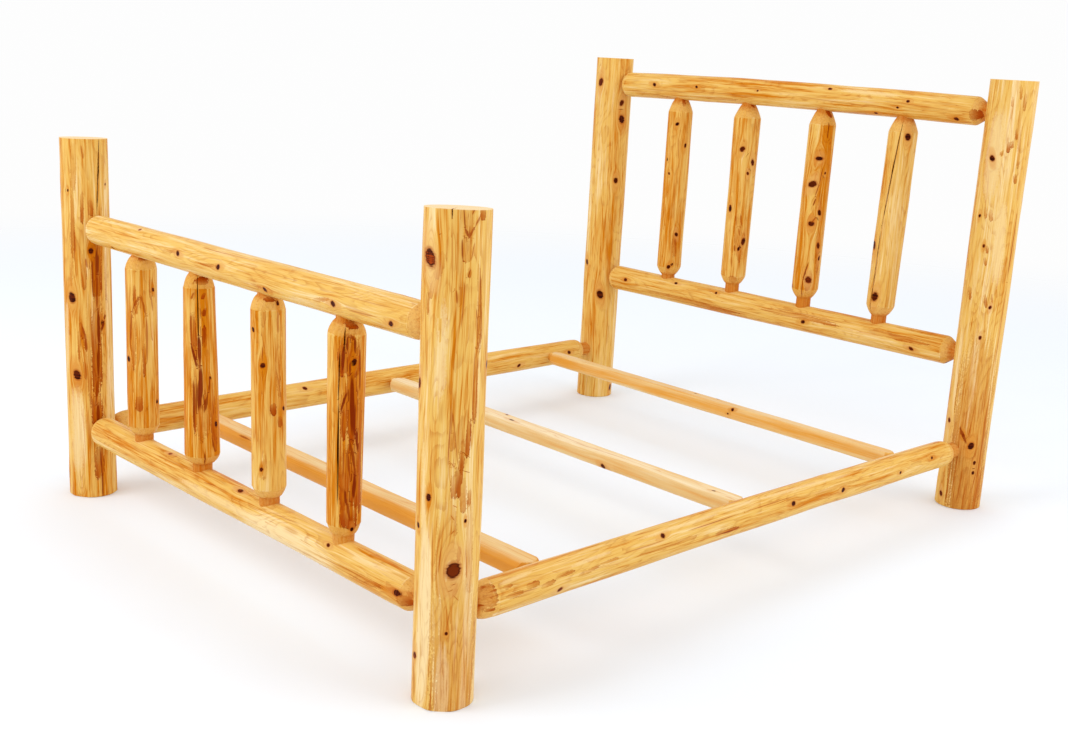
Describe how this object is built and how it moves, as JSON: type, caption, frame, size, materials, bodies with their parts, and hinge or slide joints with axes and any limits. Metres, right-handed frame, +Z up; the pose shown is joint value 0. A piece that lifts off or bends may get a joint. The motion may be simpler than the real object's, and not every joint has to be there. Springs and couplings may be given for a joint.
{
  "type": "log bed frame",
  "caption": "Rustic bed frame of peeled logs: tall headboard, lower footboard with round spindles, round side rails and squared cross slats.",
  "frame": {"origin": "centre of the footprint, on the floor", "axes": "+X to the right as seen from the foot, +Y from the foot to the head along the bed's length, +Z up"},
  "size_m": [1.817, 2.3394, 1.364],
  "materials": {
    "peeled_log": "clear lacquer over peeled pine, glossy",
    "sawn_slat": "clear lacquer over planed pine, satin",
    "zinc_steel": "zinc plated, satin"
  },
  "bodies": {
    "root": {"foot_post_left": "peeled_log", "foot_post_right": "peeled_log", "head_post_left": "peeled_log", "head_post_right": "peeled_log", "foot_top_rail": "peeled_log", "foot_bottom_rail": "peeled_log", "head_top_rail": "peeled_log", "head_bottom_rail": "peeled_log", "foot_spindle_1": "peeled_log", "foot_spindle_2": "peeled_log", "foot_spindle_3": "peeled_log", "foot_spindle_4": "peeled_log", "head_spindle_1": "peeled_log", "head_spindle_2": "peeled_log", "head_spindle_3": "peeled_log", "head_spindle_4": "peeled_log", "side_rail_left": "peeled_log", "side_rail_right": "peeled_log", "foot_slat": "sawn_slat", "middle_slat": "sawn_slat", "head_slat": "sawn_slat", "side_rail_bolts": "zinc_steel", "side_rail_washers": "zinc_steel", "side_rail_nuts": "zinc_steel"}
  },
  "joints": []
}
